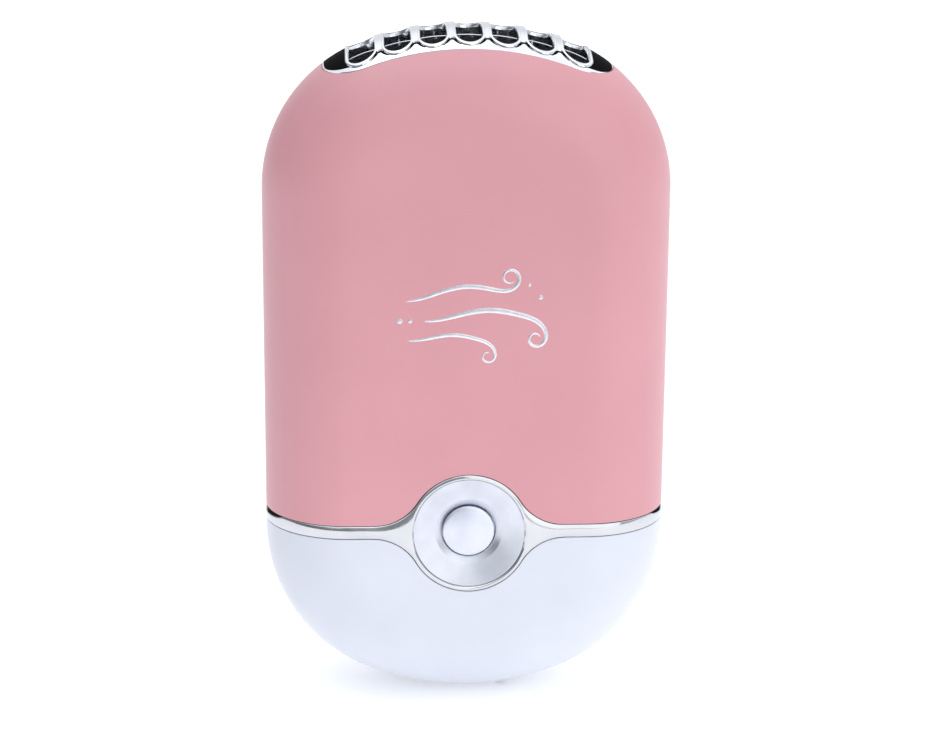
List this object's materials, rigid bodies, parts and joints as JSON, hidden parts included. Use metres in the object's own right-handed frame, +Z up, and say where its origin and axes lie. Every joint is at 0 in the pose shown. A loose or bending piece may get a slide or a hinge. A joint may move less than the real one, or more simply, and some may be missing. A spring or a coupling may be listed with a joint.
{
  "type": "eyelash extension fan",
  "caption": "Hand-held eyelash fan: rounded flat case with a slotted air outlet on top, a trim band with a round push button, a blower, a moist sponge and a battery inside.",
  "frame": {"origin": "centre of the case, on its parting plane, halfway up", "axes": "+Z up towards the air outlet, -Y out of the front where the button is, +X to the right as seen from the front"},
  "size_m": [0.0804, 0.0362, 0.1346],
  "materials": {
    "pink_case": "satin moulded ABS",
    "white_case": "glossy moulded ABS",
    "chrome_trim": "bright plated ABS",
    "satin_chrome": "satin plated",
    "button_face": "glossy",
    "grille_chrome": "bright plated ABS",
    "intake_plastic": "glossy moulded ABS",
    "sponge_foam": "open-cell foam",
    "duct_plastic": "black moulded ABS",
    "impeller_plastic": "black moulded PBT",
    "steel": "plain",
    "ferrite": "bonded magnet",
    "brass": "turned",
    "lamination": "stacked sheet",
    "copper_wire": "enamelled winding",
    "board_green": "solder mask",
    "chip_black": "moulded epoxy",
    "switch_body": "moulded nylon",
    "usb_metal": "plated shell",
    "light_clear": "clear acrylic",
    "lamp_yellow": "lamp resin",
    "cell_wrap": "shrink sleeve",
    "foam_pad": "adhesive foam",
    "nickel_tab": "nickel strip",
    "wire_jacket": "PVC",
    "screw_steel": "zinc plated"
  },
  "bodies": {
    "case": {"front_shell": "pink_case", "back_shell": "pink_case", "front_cap": "white_case", "back_cap": "white_case", "trim_band": "chrome_trim", "button_dish": "satin_chrome", "volute_housing": "duct_plastic", "volute_cover": "duct_plastic", "bearing_sleeve": "brass", "bearing_tube": "brass", "stator_core": "lamination", "stator_coils": "copper_wire", "motor_board": "board_green", "intake_grille": "intake_plastic", "circuit_board": "board_green", "board_chips": "chip_black", "tact_switch": "switch_body", "usb_socket": "usb_metal", "charge_light": "light_clear", "charge_lamp": "lamp_yellow", "battery_cell": "cell_wrap", "battery_pad": "foam_pad", "battery_tabs": "nickel_tab", "motor_leads": "wire_jacket", "battery_leads": "wire_jacket", "case_screws": "screw_steel", "volute_screws": "screw_steel", "cover_screws": "screw_steel", "board_screws": "screw_steel"},
    "button": {"power_button": "button_face"},
    "plunger": {"switch_plunger": "switch_body"},
    "rotor": {"impeller": "impeller_plastic", "rotor_yoke": "steel", "magnet_ring": "ferrite", "motor_shaft": "steel"},
    "outlet": {"outlet_grille": "grille_chrome", "sponge": "sponge_foam"}
  },
  "joints": [
    {"name": "button_press", "type": "slide", "parent": "case", "child": "button", "axis": [0, 1, 0], "range_m": [0, 0.0005], "stiffness_N_per_m": 2000},
    {"name": "plunger_press", "type": "slide", "parent": "case", "child": "plunger", "axis": [0, 1, 0], "range_m": [0, 0.0005]},
    {"name": "impeller_spin", "type": "hinge", "parent": "case", "child": "rotor", "pos_m": [0, 0, 0.009], "axis": [0, 1, 0], "continuous": true},
    {"name": "outlet_pull", "type": "slide", "parent": "case", "child": "outlet", "axis": [0, 0, 1], "range_m": [0, 0.03]}
  ],
  "couplings": [
    {"joint": "plunger_press", "follows": "button_press", "ratio": 1}
  ]
}
